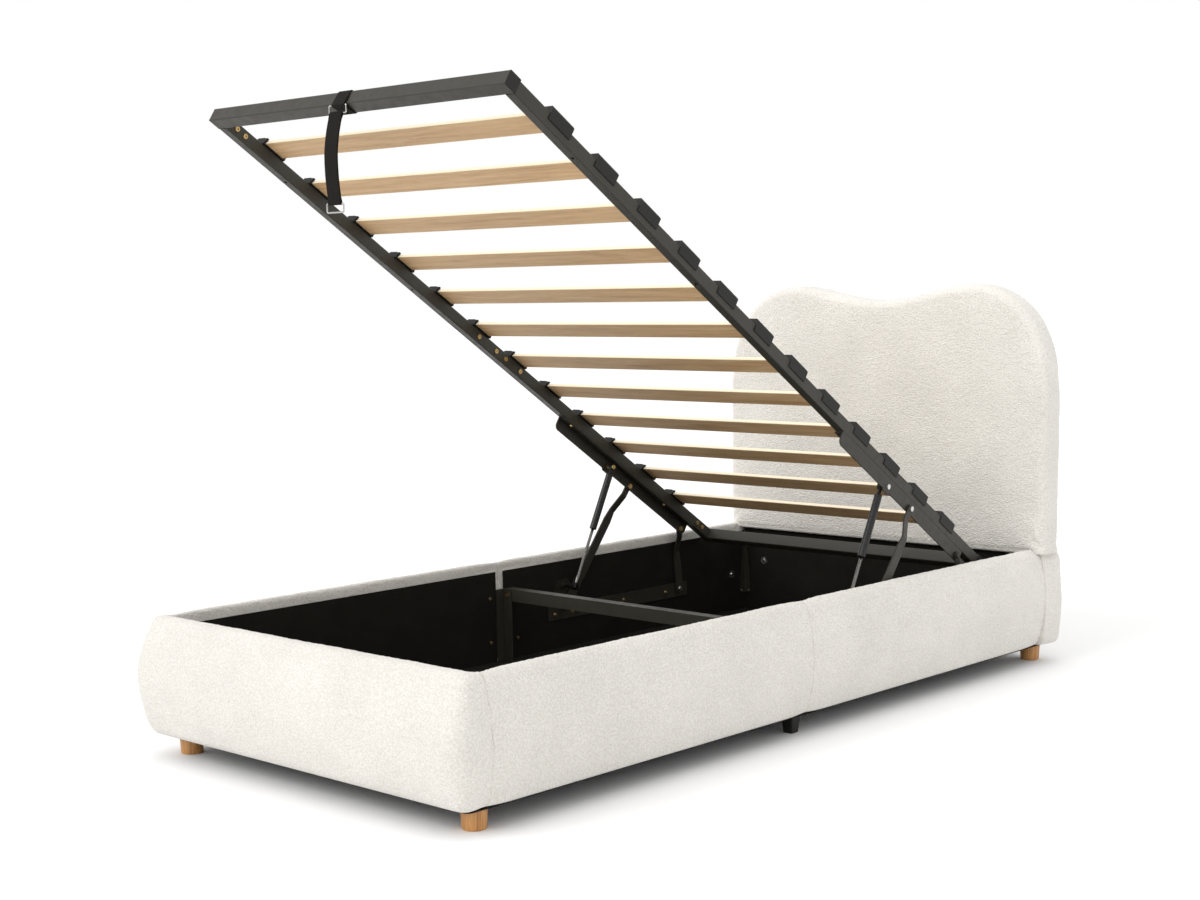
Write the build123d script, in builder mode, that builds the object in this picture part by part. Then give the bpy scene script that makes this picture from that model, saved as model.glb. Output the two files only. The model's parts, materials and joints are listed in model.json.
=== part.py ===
from build123d import *
from math import atan2, cos, degrees, hypot, radians, sin
import os

os.makedirs("parts", exist_ok=True)

# Driving dimensions of the box in millimetres. The origin is on the floor under the middle of the bed,
# +Y points to the headboard and +X to the right side as seen from the foot.
INNER_HALF = 460.0        # half the clear width between the side linings
INNER_LENGTH = 1940.0     # clear length between the foot and head linings, for a 900 x 1900 mattress
RAIL_TOP = 298.0
PANEL_BOTTOM = 45.0
BASE_BOARD = 3.0
HEAD_PANEL_TOP = 281.0
HEADBOARD_TOP = 961.0
HEADBOARD_HALF = 508.0
HEADBOARD_THICK = 88.0
HEADBOARD_FRONT = 951.0    # y of its front face, which overhangs the head lining a little
LINING = 1.0
LINING_TOP = 270.0
HEAD_LINING_TOP = 281.0
CORNER_WRAP = 12.0        # how far the foot panel returns along each side

FOOT_Y = -INNER_LENGTH / 2
HEAD_Y = INNER_LENGTH / 2
WALL_X = INNER_HALF + LINING
MID_Y = -9.0              # the joint between the foot half and the head half of each side

# Driving dimensions of the slat frame. Along it, s runs from the head end towards the foot end.
LIFT_ANGLE = 33.35
FRAME_LENGTH = 1909.0
FRAME_HALF = 434.0
END_TUBE = 30.0
RAIL_WIDTH = 24.0
RAIL_HEIGHT = 28.0
TUBE_WALL = 1.5
OPEN_Y, OPEN_Z = 765.0, 260.0       # the frame's lower head edge when it is lifted
CLOSED_Y, CLOSED_Z = 950.0, 228.0   # and when it lies flat in the box
SLATS = 12
SLAT_PITCH = 141.6
FIRST_SLAT = 201.0                  # s of the middle of the slat nearest the head
SLAT_WIDTH = 53.0
SLAT_THICK = 8.0

# Driving dimensions of the lift linkage
FRONT_PIN = (365.0, -21.0)          # s and height of the front arm's pin on the frame
REAR_PIN = (121.0, -20.0)
STRUT_PIN = (470.0, -20.0)
FRONT_BASE_Z = 155.0
REAR_BASE_Z = 140.0
STRUT_BASE = (215.0, 206.0)         # y and z of the strut's stud on the box
ARM_THICK = 4.0
ARM_LOW_X = 451.5                   # inner face of an arm where it turns on the box
ARM_TOP_X = 435.5                   # inner face of an arm where it carries the frame
STRUT_X = 415.0
PIN_RADIUS = 4.0
PIN_PLAY = 0.05
BRACKET_THICK = 3.0

LIFT = radians(LIFT_ANGLE)
frame_plane = Plane(origin=(0, OPEN_Y, OPEN_Z), x_dir=(1, 0, 0), z_dir=(0, sin(LIFT), cos(LIFT)))


def save(piece, name):
    piece.part.label = name
    export_step(piece.part, "parts/" + name + ".step")


def mirrored(piece):
    with BuildPart() as other:
        mirror(piece.part, about=Plane.YZ)
    return other


def frame_point(s, h, origin_y, origin_z, angle):
    y = origin_y - s * cos(angle) + h * sin(angle)
    z = origin_z + s * sin(angle) + h * cos(angle)
    return y, z


def base_pivot(pin, base_z):
    # the point on the box at the same distance from the pin in both end positions of the frame
    y_open, z_open = frame_point(*pin, OPEN_Y, OPEN_Z, LIFT)
    y_shut, z_shut = frame_point(*pin, CLOSED_Y, CLOSED_Z, 0.0)
    y_mid, z_mid = (y_open + y_shut) / 2, (z_open + z_shut) / 2
    return y_mid - (base_z - z_mid) * (z_shut - z_open) / (y_shut - y_open), base_z


FRONT_BASE = base_pivot(FRONT_PIN, FRONT_BASE_Z)
REAR_BASE = base_pivot(REAR_PIN, REAR_BASE_Z)
FRONT_TOP = frame_point(*FRONT_PIN, OPEN_Y, OPEN_Z, LIFT)
REAR_TOP = frame_point(*REAR_PIN, OPEN_Y, OPEN_Z, LIFT)
STRUT_TOP = frame_point(*STRUT_PIN, OPEN_Y, OPEN_Z, LIFT)

# Foot panel: plan sections at each height as half width, y of the outer face and corner radius,
# so that the padded outside is a barrel that also rounds the corners
foot_sections = [
    (45, 474, -1003, 18),
    (52, 482, -1014, 24),
    (70, 492, -1028, 34),
    (105, 500, -1038, 42),
    (145, 504, -1045, 44),
    (190, 503, -1045, 42),
    (235, 497, -1032, 36),
    (275, 487, -1014, 28),
    (292, 479, -1003, 24),
    (RAIL_TOP, 470, -993, 18),
]
foot_back = FOOT_Y + CORNER_WRAP
with BuildPart() as foot_panel:
    for height, half, front, corner in foot_sections:
        with BuildSketch(Plane.XY.offset(height)) as section:
            with Locations((0, (front + foot_back) / 2)):
                Rectangle(2 * half, foot_back - front)
            fillet(section.vertices().group_by(Axis.Y)[0], corner)
    loft()
    with Locations((0, foot_back, (PANEL_BOTTOM + RAIL_TOP) / 2)):
        Box(2 * WALL_X, 2 * CORNER_WRAP, RAIL_TOP, mode=Mode.SUBTRACT)
    fillet(foot_panel.edges().filter_by(Axis.X).group_by(Axis.Z)[-1].sort_by(Axis.Y)[-1], 7)
save(foot_panel, "foot_panel")

# Side rails: a padded section, thin at the rounded top and bulging at half height. The headboard's foot
# rests in a notch at the top of their head ends.
rail_outer = [(474, 45), (485, 55), (495, 85), (502, 125), (504.5, 168), (502, 212), (494, 253), (483, 284), (471, 297)]


def rail_half(y_from, y_to):
    with BuildPart() as rail:
        with BuildSketch(Plane.XZ.offset(-y_to)):
            with BuildLine():
                Spline(*rail_outer)
                ThreePointArc((471, 297), (464.5, RAIL_TOP - 2.2), (WALL_X, 289))
                Line((WALL_X, 289), (WALL_X, PANEL_BOTTOM))
                Line((WALL_X, PANEL_BOTTOM), (474, PANEL_BOTTOM))
            make_face()
        extrude(amount=y_to - y_from)
        end_faces = rail.faces().filter_by(Axis.Y)
        bulge_edges = [face.edges().sort_by(Axis.X)[-1] for face in end_faces]
        fillet(bulge_edges, 4)
        with Locations((WALL_X + 30, HEADBOARD_FRONT + 15, HEAD_PANEL_TOP + 15)):
            Box(80, 30, 30, mode=Mode.SUBTRACT)
    return rail


side_rail_foot_right = rail_half(foot_back, MID_Y)
save(side_rail_foot_right, "side_rail_foot_right")
side_rail_foot_left = mirrored(side_rail_foot_right)
save(side_rail_foot_left, "side_rail_foot_left")
side_rail_head_right = rail_half(MID_Y, HEAD_Y)
save(side_rail_head_right, "side_rail_head_right")
side_rail_head_left = mirrored(side_rail_head_right)
save(side_rail_head_left, "side_rail_head_left")

# Head panel below the headboard, with the same padded outside on three sides
head_sections = [
    (45, 486, 1054, 18),
    (52, 496, 1062, 22),
    (70, 502, 1065, 24),
    (115, 505, 1066, 26),
    (190, 505, 1066, 26),
    (245, 502, 1064, 26),
    (272, 497, 1061, 24),
    (281, 492, 1057, 22),
]
with BuildPart() as head_panel:
    for height, half, back, corner in head_sections:
        with BuildSketch(Plane.XY.offset(height)) as section:
            with Locations((0, (HEAD_Y + back) / 2)):
                Rectangle(2 * half, back - HEAD_Y)
            fillet(section.vertices().group_by(Axis.Y)[-1], corner)
    loft()
save(head_panel, "head_panel")

# Headboard: two low lobes with a dip between them, padded and rounded all round
lobe = [(0, 923), (60, 926), (120, 936), (180, 949), (232, 958.5), (275, HEADBOARD_TOP), (325, 956), (370, 940)]
shoulder = [(412, 913), (446, 879), (472, 838), (490, 796), (500, 752), (506, 695), (HEADBOARD_HALF, 620)]
outline = lobe + shoulder
with BuildPart() as headboard:
    with BuildSketch(Plane.XZ.offset(-(HEADBOARD_FRONT + HEADBOARD_THICK))):
        with BuildLine():
            Spline(*outline, tangents=[(1, 0), (0, -1)])
            Line((HEADBOARD_HALF, 620), (HEADBOARD_HALF, HEAD_PANEL_TOP))
            Line((HEADBOARD_HALF, HEAD_PANEL_TOP), (0, HEAD_PANEL_TOP))
            mirror(about=Plane.YZ)
        make_face()
    extrude(amount=HEADBOARD_THICK)
    soft_edges = headboard.faces().filter_by(Axis.Y).edges() - headboard.faces().sort_by(Axis.Z)[0].edges()
    fillet(soft_edges, 26)
save(headboard, "headboard")


# Black lining on the inside of each panel
def lining(top, *sheets):
    # one box for each sheet, given as x from and to, then y from and to
    with BuildPart() as cloth:
        for x_from, x_to, y_from, y_to in sheets:
            with Locations(((x_from + x_to) / 2, (y_from + y_to) / 2, (PANEL_BOTTOM + top) / 2)):
                Box(x_to - x_from, y_to - y_from, top - PANEL_BOTTOM)
    return cloth


strip_half = 12.0
lining_foot = lining(LINING_TOP, (-INNER_HALF, INNER_HALF, FOOT_Y, FOOT_Y + LINING))
save(lining_foot, "lining_foot")
lining_head = lining(HEAD_LINING_TOP, (-INNER_HALF, INNER_HALF, HEAD_Y - LINING, HEAD_Y))
save(lining_head, "lining_head")
lining_right = lining(
    LINING_TOP,
    (INNER_HALF, WALL_X, FOOT_Y + LINING, MID_Y - strip_half),
    (INNER_HALF, WALL_X, MID_Y + strip_half, HEAD_Y - LINING),
)
save(lining_right, "lining_right")
save(mirrored(lining_right), "lining_left")

# Base board under the panels, which is the floor of the storage space
with BuildPart() as base_board:
    with Locations((0, 25.5, PANEL_BOTTOM - BASE_BOARD / 2)):
        Box(2 * 468, 2035, BASE_BOARD)
    fillet(base_board.edges().filter_by(Axis.Z), 14)
save(base_board, "base_board")

# Round tapered corner feet and square middle legs
FOOT_HEIGHT = PANEL_BOTTOM - BASE_BOARD
FOOT_X = 433.0
corner_feet = {
    "foot_front_right": (FOOT_X, -945),
    "foot_front_left": (-FOOT_X, -945),
    "foot_head_right": (FOOT_X, 1016),
    "foot_head_left": (-FOOT_X, 1016),
}
for name, (x, y) in corner_feet.items():
    with BuildPart() as foot:
        with BuildSketch(Plane(origin=(x, y, 0))):
            Circle(23)
        with BuildSketch(Plane(origin=(x, y, FOOT_HEIGHT))):
            Circle(25.5)
        loft()
        chamfer(foot.edges().group_by(Axis.Z)[0], 1.5)
    save(foot, name)

for name, x in {"middle_leg_right": 435.0, "middle_leg_left": -435.0}.items():
    with BuildPart() as leg:
        with BuildSketch(Plane(origin=(x, MID_Y + 3, 0))):
            RectangleRounded(24, 24, 3)
        with BuildSketch(Plane(origin=(x, MID_Y + 3, FOOT_HEIGHT))):
            RectangleRounded(32, 32, 3)
        loft()
    save(leg, name)

# Angle posts that join the two halves of each side, and the angle crossbar between them
POST_WEB_Y = MID_Y + 14.0
CROSSBAR_TOP = CLOSED_Z - 2.5
ANGLE = 30.0
with BuildPart() as side_post_right:
    with BuildSketch(Plane.XY.offset(PANEL_BOTTOM)):
        with BuildLine():
            Polyline(
                (INNER_HALF, MID_Y - strip_half + 0.5),
                (INNER_HALF - 3, MID_Y - strip_half + 0.5),
                (INNER_HALF - 3, POST_WEB_Y - 3),
                (INNER_HALF - ANGLE, POST_WEB_Y - 3),
                (INNER_HALF - ANGLE, POST_WEB_Y),
                (INNER_HALF, POST_WEB_Y),
                close=True,
            )
        make_face()
    extrude(amount=CROSSBAR_TOP - PANEL_BOTTOM)
save(side_post_right, "side_post_right")
save(mirrored(side_post_right), "side_post_left")

with BuildPart() as crossbar:
    with BuildSketch(Plane.YZ.offset(-(INNER_HALF - 3.5))):
        with BuildLine():
            Polyline(
                (POST_WEB_Y, CROSSBAR_TOP - ANGLE),
                (POST_WEB_Y + 3, CROSSBAR_TOP - ANGLE),
                (POST_WEB_Y + 3, CROSSBAR_TOP - 3),
                (POST_WEB_Y + ANGLE, CROSSBAR_TOP - 3),
                (POST_WEB_Y + ANGLE, CROSSBAR_TOP),
                (POST_WEB_Y, CROSSBAR_TOP),
                close=True,
            )
        make_face()
    extrude(amount=2 * (INNER_HALF - 3.5))
save(crossbar, "crossbar")

# Bolts through the crossbar and the posts, and the screws beside each post
with BuildPart() as crossbar_bolts:
    for side in (1, -1):
        bolt_x = side * (INNER_HALF - 17)
        with BuildSketch(Plane.XZ.offset(-(POST_WEB_Y - 3))):
            with Locations((bolt_x, CROSSBAR_TOP - 16)):
                RegularPolygon(5.5, 6)
        extrude(amount=3.5)
        with BuildSketch(Plane.XZ.offset(-(POST_WEB_Y + 3 + 3.5))):
            with Locations((bolt_x, CROSSBAR_TOP - 16)):
                RegularPolygon(5.5, 6)
        extrude(amount=3.5)
save(crossbar_bolts, "crossbar_bolts")


def wall_heads(points, radius, height, wall):
    # domed bolt heads on a side wall at the given y and z, on both sides of the bed
    with BuildPart() as heads:
        with BuildSketch(Plane.YZ.offset(wall)):
            with Locations(*points):
                Circle(radius)
        extrude(amount=-height, taper=18)
        mirror(about=Plane.YZ)
    return heads


joint_screws = wall_heads([(MID_Y - 32, 205), (MID_Y + 60, 205), (MID_Y - 32, 95), (MID_Y + 60, 95)], 4.5, 3, INNER_HALF)
save(joint_screws, "joint_screws")

# Folded corner braces in the four inner corners, narrow at the top and wide at the foot
BRACE_LOW, BRACE_HIGH = 92.0, 242.0
brace_side = [(0, BRACE_HIGH), (22, BRACE_HIGH), (22, 230), (11, 220), (20, 112), (22, 104), (22, BRACE_LOW), (0, BRACE_LOW)]
with BuildPart() as corner_braces:
    with BuildSketch(Plane.YZ.offset(INNER_HALF - 2)):
        with BuildLine():
            Polyline(*[(HEAD_Y - LINING - a, z) for a, z in brace_side], close=True)
        make_face()
    extrude(amount=2)
    with BuildSketch(Plane.XZ.offset(-(HEAD_Y - LINING))):
        with BuildLine():
            Polyline(*[(INNER_HALF - a, z) for a, z in brace_side], close=True)
        make_face()
    extrude(amount=2)
    mirror(about=Plane.XZ)
    mirror(about=Plane.YZ)
save(corner_braces, "corner_braces")

brace_y = HEAD_Y - LINING
brace_screw_spots = [(16, 236), (16, 98)]
with BuildPart() as brace_screws:
    with BuildSketch(Plane.YZ.offset(INNER_HALF - 2)):
        with Locations(*[(brace_y - a, z) for a, z in brace_screw_spots]):
            Circle(3.6)
    extrude(amount=-2)
    with BuildSketch(Plane.XZ.offset(-(brace_y - 2))):
        with Locations(*[(INNER_HALF - a, z) for a, z in brace_screw_spots]):
            Circle(3.6)
    extrude(amount=2)
    mirror(about=Plane.XZ)
    mirror(about=Plane.YZ)
save(brace_screws, "brace_screws")

# Large washers with their bolts near the head corners, on the sides and on the head panel
with BuildPart() as wall_washers:
    with BuildSketch(Plane.YZ.offset(INNER_HALF)):
        with Locations((HEAD_Y - 63, 150)):
            Circle(10.5)
    extrude(amount=-2)
    with BuildSketch(Plane.YZ.offset(INNER_HALF - 2)):
        with Locations((HEAD_Y - 63, 150)):
            Circle(5)
    extrude(amount=-3.5, taper=25)
    with BuildSketch(Plane.XZ.offset(-(HEAD_Y - LINING))):
        with Locations((389, 189)):
            Circle(10.5)
    extrude(amount=2)
    with BuildSketch(Plane.XZ.offset(-(HEAD_Y - LINING - 2))):
        with Locations((389, 189)):
            Circle(5)
    extrude(amount=3.5, taper=25)
    mirror(about=Plane.YZ)
save(wall_washers, "wall_washers")

# Base brackets of the lift on the side walls, with a lug for the strut
base_from, base_to = 160.0, 708.0
with BuildPart() as base_bracket_right:
    with BuildSketch(Plane.YZ.offset(INNER_HALF - BRACKET_THICK)) as plate:
        with BuildLine():
            Polyline(
                (base_from, 120),
                (base_to, 118),
                (base_to, 156),
                (FRONT_BASE[0] + 62, 156),
                (STRUT_BASE[0] + 18, 222),
                (STRUT_BASE[0] - 18, 222),
                (base_from, 168),
                close=True,
            )
        make_face()
        fillet(plate.vertices(), 6)
    extrude(amount=BRACKET_THICK)
    with BuildSketch(Plane.YZ.offset(INNER_HALF - BRACKET_THICK)):
        with Locations(STRUT_BASE):
            Circle(8)
    extrude(amount=-(INNER_HALF - BRACKET_THICK - ARM_LOW_X))
save(base_bracket_right, "base_bracket_right")
save(mirrored(base_bracket_right), "base_bracket_left")

base_bolt_spots = [(184, 134), (247, 133), (447, 138), (618, 136)]
base_bolts = wall_heads(base_bolt_spots, 5, 4, INNER_HALF - BRACKET_THICK)
save(base_bolts, "base_bolts")

# Shouldered pivot bolts on which the arms turn on the box
with BuildPart() as base_pivots:
    for pivot in (FRONT_BASE, REAR_BASE):
        with BuildSketch(Plane.YZ.offset(INNER_HALF - BRACKET_THICK)):
            with Locations(pivot):
                Circle(PIN_RADIUS)
        extrude(amount=-(INNER_HALF - BRACKET_THICK - ARM_LOW_X + 0.4))
        with BuildSketch(Plane.YZ.offset(ARM_LOW_X - 0.4)):
            with Locations(pivot):
                Circle(7)
        extrude(amount=-4, taper=20)
        with BuildSketch(Plane.YZ.offset(INNER_HALF - BRACKET_THICK)):
            with Locations(pivot):
                Circle(8)
        extrude(amount=-1.2)
    mirror(about=Plane.YZ)
save(base_pivots, "base_pivots")


# A lift arm is a flat bar from its base pivot to its top pin, set over sideways near the top
def lift_arm(base, tip, low_half, top_half, set_from, set_to):
    length = hypot(tip[0] - base[0], tip[1] - base[1])
    slope = atan2(tip[1] - base[1], tip[0] - base[0])
    side_plane = Plane(origin=(0, base[0], base[1]), x_dir=(0, cos(slope), sin(slope)), z_dir=(1, 0, 0))
    edge_plane = Plane(origin=(0, base[0], base[1]), x_dir=(0, cos(slope), sin(slope)), z_dir=(0, sin(slope), -cos(slope)))
    bend_low, bend_high = length - set_from, length - set_to
    with BuildPart() as arm:
        with BuildSketch(edge_plane):
            with BuildLine():
                Polyline(
                    (-low_half, ARM_LOW_X),
                    (bend_low, ARM_LOW_X),
                    (bend_high, ARM_TOP_X),
                    (length + top_half, ARM_TOP_X),
                    (length + top_half, ARM_TOP_X + ARM_THICK),
                    (bend_high + 1, ARM_TOP_X + ARM_THICK),
                    (bend_low + 1, ARM_LOW_X + ARM_THICK),
                    (-low_half, ARM_LOW_X + ARM_THICK),
                    close=True,
                )
            make_face()
        extrude(amount=low_half + 1, both=True)
        with BuildSketch(side_plane):
            with BuildLine():
                Line((0, -low_half), (bend_low - 30, -low_half))
                Line((bend_low - 30, -low_half), (bend_low, -top_half))
                Line((bend_low, -top_half), (length, -top_half))
                ThreePointArc((length, -top_half), (length + top_half, 0), (length, top_half))
                Line((length, top_half), (bend_low, top_half))
                Line((bend_low, top_half), (bend_low - 30, low_half))
                Line((bend_low - 30, low_half), (0, low_half))
                ThreePointArc((0, low_half), (-low_half, 0), (0, -low_half))
            make_face()
        extrude(amount=500, mode=Mode.INTERSECT)
        with BuildSketch(side_plane):
            with Locations((0, 0), (length, 0)):
                Circle(PIN_RADIUS + PIN_PLAY)
        extrude(amount=500, mode=Mode.SUBTRACT)
    return arm


front_arm_right = lift_arm(FRONT_BASE, FRONT_TOP, 13.0, 9.0, 78, 30)
save(front_arm_right, "front_arm_right")
save(mirrored(front_arm_right), "front_arm_left")
rear_arm_bar = lift_arm(REAR_BASE, REAR_TOP, 13.0, 9.5, 66, 22)

# The rear arm's top pin is riveted into the arm and ends short of the frame's bracket
with BuildPart() as rear_arm_right:
    add(rear_arm_bar.part)
    with BuildSketch(Plane.YZ.offset(ARM_TOP_X - 0.9)):
        with Locations(REAR_TOP):
            Circle(PIN_RADIUS + 0.5)
    extrude(amount=ARM_THICK + 1.4)
    with BuildSketch(Plane.YZ.offset(ARM_TOP_X + ARM_THICK)):
        with Locations(REAR_TOP):
            Circle(7)
    extrude(amount=3.5, taper=20)
save(rear_arm_right, "rear_arm_right")
save(mirrored(rear_arm_right), "rear_arm_left")


# Slat frame: rectangular tubes, with the side rails in two halves joined in the middle
frame_along = Axis((0, 0, 0), frame_plane.y_dir)


def frame_tube(x_middle, x_size, s_from, s_to, height, along_x, holes=()):
    with BuildPart(frame_plane) as tube:
        with Locations((x_middle, -(s_from + s_to) / 2, height / 2)):
            Box(x_size, s_to - s_from, height)
        fillet(tube.edges().filter_by(Axis.X if along_x else frame_along), 2.5)
        with Locations((x_middle, -(s_from + s_to) / 2, height / 2)):
            if along_x:
                Box(x_size, s_to - s_from - 2 * TUBE_WALL, height - 2 * TUBE_WALL, mode=Mode.SUBTRACT)
            else:
                Box(x_size - 2 * TUBE_WALL, s_to - s_from, height - 2 * TUBE_WALL, mode=Mode.SUBTRACT)
        for s in holes:
            with Locations((x_middle, -s, 0)):
                Cylinder(3.5, 4 * TUBE_WALL, mode=Mode.SUBTRACT)
    return tube


RAIL_X = FRAME_HALF - RAIL_WIDTH / 2
RAIL_JOINT = 955.0
RAIL_HOLES = (1275.0, 1692.0)     # s of the spare holes in the underside of each foot half
frame_foot_tube = frame_tube(0, 2 * FRAME_HALF, FRAME_LENGTH - END_TUBE, FRAME_LENGTH, END_TUBE, True)
save(frame_foot_tube, "frame_foot_tube")
frame_head_tube = frame_tube(0, 2 * FRAME_HALF, 0, END_TUBE, END_TUBE, True)
save(frame_head_tube, "frame_head_tube")
frame_rail_foot_right = frame_tube(
    RAIL_X, RAIL_WIDTH, RAIL_JOINT, FRAME_LENGTH - END_TUBE, RAIL_HEIGHT, False, RAIL_HOLES
)
save(frame_rail_foot_right, "frame_rail_foot_right")
save(mirrored(frame_rail_foot_right), "frame_rail_foot_left")
frame_rail_head_right = frame_tube(RAIL_X, RAIL_WIDTH, END_TUBE, RAIL_JOINT, RAIL_HEIGHT, False)
save(frame_rail_head_right, "frame_rail_head_right")
save(mirrored(frame_rail_head_right), "frame_rail_head_left")

# Sleeves inside the side rails at the middle joint
with BuildPart(frame_plane) as rail_joiner_right:
    with Locations((RAIL_X, -RAIL_JOINT - 12, RAIL_HEIGHT / 2)):
        Box(RAIL_WIDTH - 2 * TUBE_WALL - 0.2, 236, RAIL_HEIGHT - 2 * TUBE_WALL - 0.2)
        Box(RAIL_WIDTH - 2 * TUBE_WALL - 4.2, 236, RAIL_HEIGHT - 2 * TUBE_WALL - 4.2, mode=Mode.SUBTRACT)
with BuildPart() as rail_joiners:
    add(rail_joiner_right.part)
    mirror(rail_joiner_right.part, about=Plane.YZ)
save(rail_joiners, "rail_joiners")

# Plastic caps in the open ends of the two end tubes
with BuildPart(frame_plane) as tube_caps:
    for s_middle in (END_TUBE / 2, FRAME_LENGTH - END_TUBE / 2):
        with Locations((FRAME_HALF + 0.75, -s_middle, END_TUBE / 2), (-FRAME_HALF - 0.75, -s_middle, END_TUBE / 2)):
            Box(1.5, END_TUBE - 1, END_TUBE - 1)
        with Locations((FRAME_HALF - 6, -s_middle, END_TUBE / 2), (-FRAME_HALF + 6, -s_middle, END_TUBE / 2)):
            Box(12, END_TUBE - 2 * TUBE_WALL, END_TUBE - 2 * TUBE_WALL)
save(tube_caps, "tube_caps")

# Sprung slats and the plastic holders on the side rails
slat_places = [FIRST_SLAT + i * SLAT_PITCH for i in range(SLATS)]
SLAT_LOW = RAIL_HEIGHT + 2.5
SLAT_HALF = FRAME_HALF - 5.0
with BuildPart(frame_plane) as slats:
    with Locations(*[(0, -s, SLAT_LOW + SLAT_THICK / 2) for s in slat_places]):
        Box(2 * SLAT_HALF, SLAT_WIDTH, SLAT_THICK)
    fillet(slats.edges().filter_by(Axis.X), 2)
save(slats, "slats")

HOLDER_IN = 406.0
HOLDER_EAR = 7.0          # how far the ear at the holder's foot end stands in beside the slat
HOLDER_LENGTH = 64.0
holder_profile = [
    (HOLDER_IN, RAIL_HEIGHT + 0.0),
    (FRAME_HALF, RAIL_HEIGHT + 0.0),
    (FRAME_HALF, 14),
    (FRAME_HALF + 2, 14),
    (FRAME_HALF + 2, RAIL_HEIGHT + 10),
    (FRAME_HALF - 2, RAIL_HEIGHT + 14),
    (HOLDER_IN + 4, RAIL_HEIGHT + 14),
    (HOLDER_IN, RAIL_HEIGHT + 12.5),
]
frame_section = Plane(origin=(0, OPEN_Y, OPEN_Z), x_dir=(1, 0, 0), z_dir=(0, cos(LIFT), -sin(LIFT)))
with BuildPart() as slat_holders_right:
    for s in slat_places:
        with BuildSketch(frame_section.offset(-s - HOLDER_LENGTH / 2)) as section:
            with BuildLine():
                Polyline(*[(x, -h) for x, h in holder_profile], close=True)
            make_face()
        extrude(amount=HOLDER_LENGTH)
        with BuildSketch(frame_section.offset(-s - SLAT_WIDTH / 2 - 0.2)):
            with Locations(((HOLDER_IN + SLAT_HALF) / 2, -(SLAT_LOW + SLAT_THICK / 2))):
                Rectangle(SLAT_HALF - HOLDER_IN + 0.4, SLAT_THICK + 0.4)
        extrude(amount=SLAT_WIDTH + 0.4, mode=Mode.SUBTRACT)
        with BuildSketch(frame_section.offset(-s - HOLDER_LENGTH / 2)):
            with BuildLine():
                ear_top = -RAIL_HEIGHT - 12.5
                Polyline((HOLDER_IN - HOLDER_EAR, ear_top), (HOLDER_IN, ear_top), (HOLDER_IN, ear_top + 10), close=True)
            make_face()
        extrude(amount=(HOLDER_LENGTH - SLAT_WIDTH) / 2 - 0.3)
save(slat_holders_right, "slat_holders_right")
save(mirrored(slat_holders_right), "slat_holders_left")

# Angle brackets under the rails: one leg flat under the tube, the other hanging flush with its outside
LEG_DOWN = 31.0
bracket_from, bracket_to = 102.0, 692.0
side_section = Plane(origin=(0, OPEN_Y, OPEN_Z), x_dir=(0, -cos(LIFT), sin(LIFT)), z_dir=(-1, 0, 0))
with BuildPart() as lift_bracket_right:
    with BuildSketch(side_section.offset(-FRAME_HALF)) as leg:
        with Locations(((bracket_from + bracket_to) / 2, -LEG_DOWN / 2)):
            Rectangle(bracket_to - bracket_from, LEG_DOWN)
        fillet(leg.vertices().group_by(Axis.Y)[0], 14)
    extrude(amount=BRACKET_THICK)
    with BuildSketch(side_section.offset(-FRAME_HALF)) as flat:
        with Locations(((bracket_from + bracket_to) / 2, -BRACKET_THICK / 2)):
            Rectangle(bracket_to - bracket_from - 10, BRACKET_THICK)
    extrude(amount=RAIL_WIDTH + 2)
    with BuildSketch(side_section.offset(-FRAME_HALF)):
        with Locations((STRUT_PIN[0], -LEG_DOWN + 2)):
            RectangleRounded(28, 14, 6)
    extrude(amount=BRACKET_THICK)
save(lift_bracket_right, "lift_bracket_right")
save(mirrored(lift_bracket_right), "lift_bracket_left")


# Bolts of the slat frame: rows of x, places as (s, height), radius, length towards the middle and taper
def frame_fasteners(rows, under=(), sockets=()):
    with BuildPart() as fasteners:
        for x, spots, radius, length, taper in rows:
            with BuildSketch(side_section.offset(-x)):
                with Locations(*spots):
                    Circle(radius)
            extrude(amount=length, taper=taper)
        for x, spots in sockets:
            with BuildSketch(side_section.offset(-x)):
                with Locations(*spots):
                    RegularPolygon(3.2, 6)
            extrude(amount=-1.8, mode=Mode.SUBTRACT)
        for s in under:
            with BuildSketch(frame_plane.offset(-BRACKET_THICK)):
                with Locations((RAIL_X - 2, -s)):
                    Circle(5)
            extrude(amount=-3, taper=15)
        mirror(about=Plane.YZ)
    return fasteners


corner_spots = [(1857, 15), (1833, 14), (66, 15), (91, 15)]
joint_spots = [(1050, 14), (984, 14), (947, 14), (890, 14)]
rail_inside = FRAME_HALF - RAIL_WIDTH
rail_spots = corner_spots + joint_spots
frame_bolts = frame_fasteners(
    [(rail_inside, rail_spots, 6, 3, 10)], under=(654, 230), sockets=[(rail_inside - 3, rail_spots)]
)
save(frame_bolts, "frame_bolts")

# Pins on the brackets: the front arms turn on one, the struts on another, and the third place has a nut only
leg_inside = FRAME_HALF - BRACKET_THICK
arm_outside = ARM_TOP_X + ARM_THICK + 0.4
bracket_pins = frame_fasteners(
    [
        (leg_inside, [FRONT_PIN, REAR_PIN], 7, 2.5, 15),
        (arm_outside, [FRONT_PIN], PIN_RADIUS, arm_outside - FRAME_HALF, 0),
        (arm_outside + 3.5, [FRONT_PIN], 6, 3.5, 0),
        (FRAME_HALF + 3.5, [STRUT_PIN], 6, 3.5, 0),
        (leg_inside, [STRUT_PIN], 6, leg_inside - STRUT_X - 5.4, 0),
        (STRUT_X + 5.4, [STRUT_PIN], PIN_RADIUS, 10.8, 0),
        (STRUT_X - 5.4, [STRUT_PIN], 6, 2.5, 15),
    ]
)
save(bracket_pins, "bracket_pins")

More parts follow.
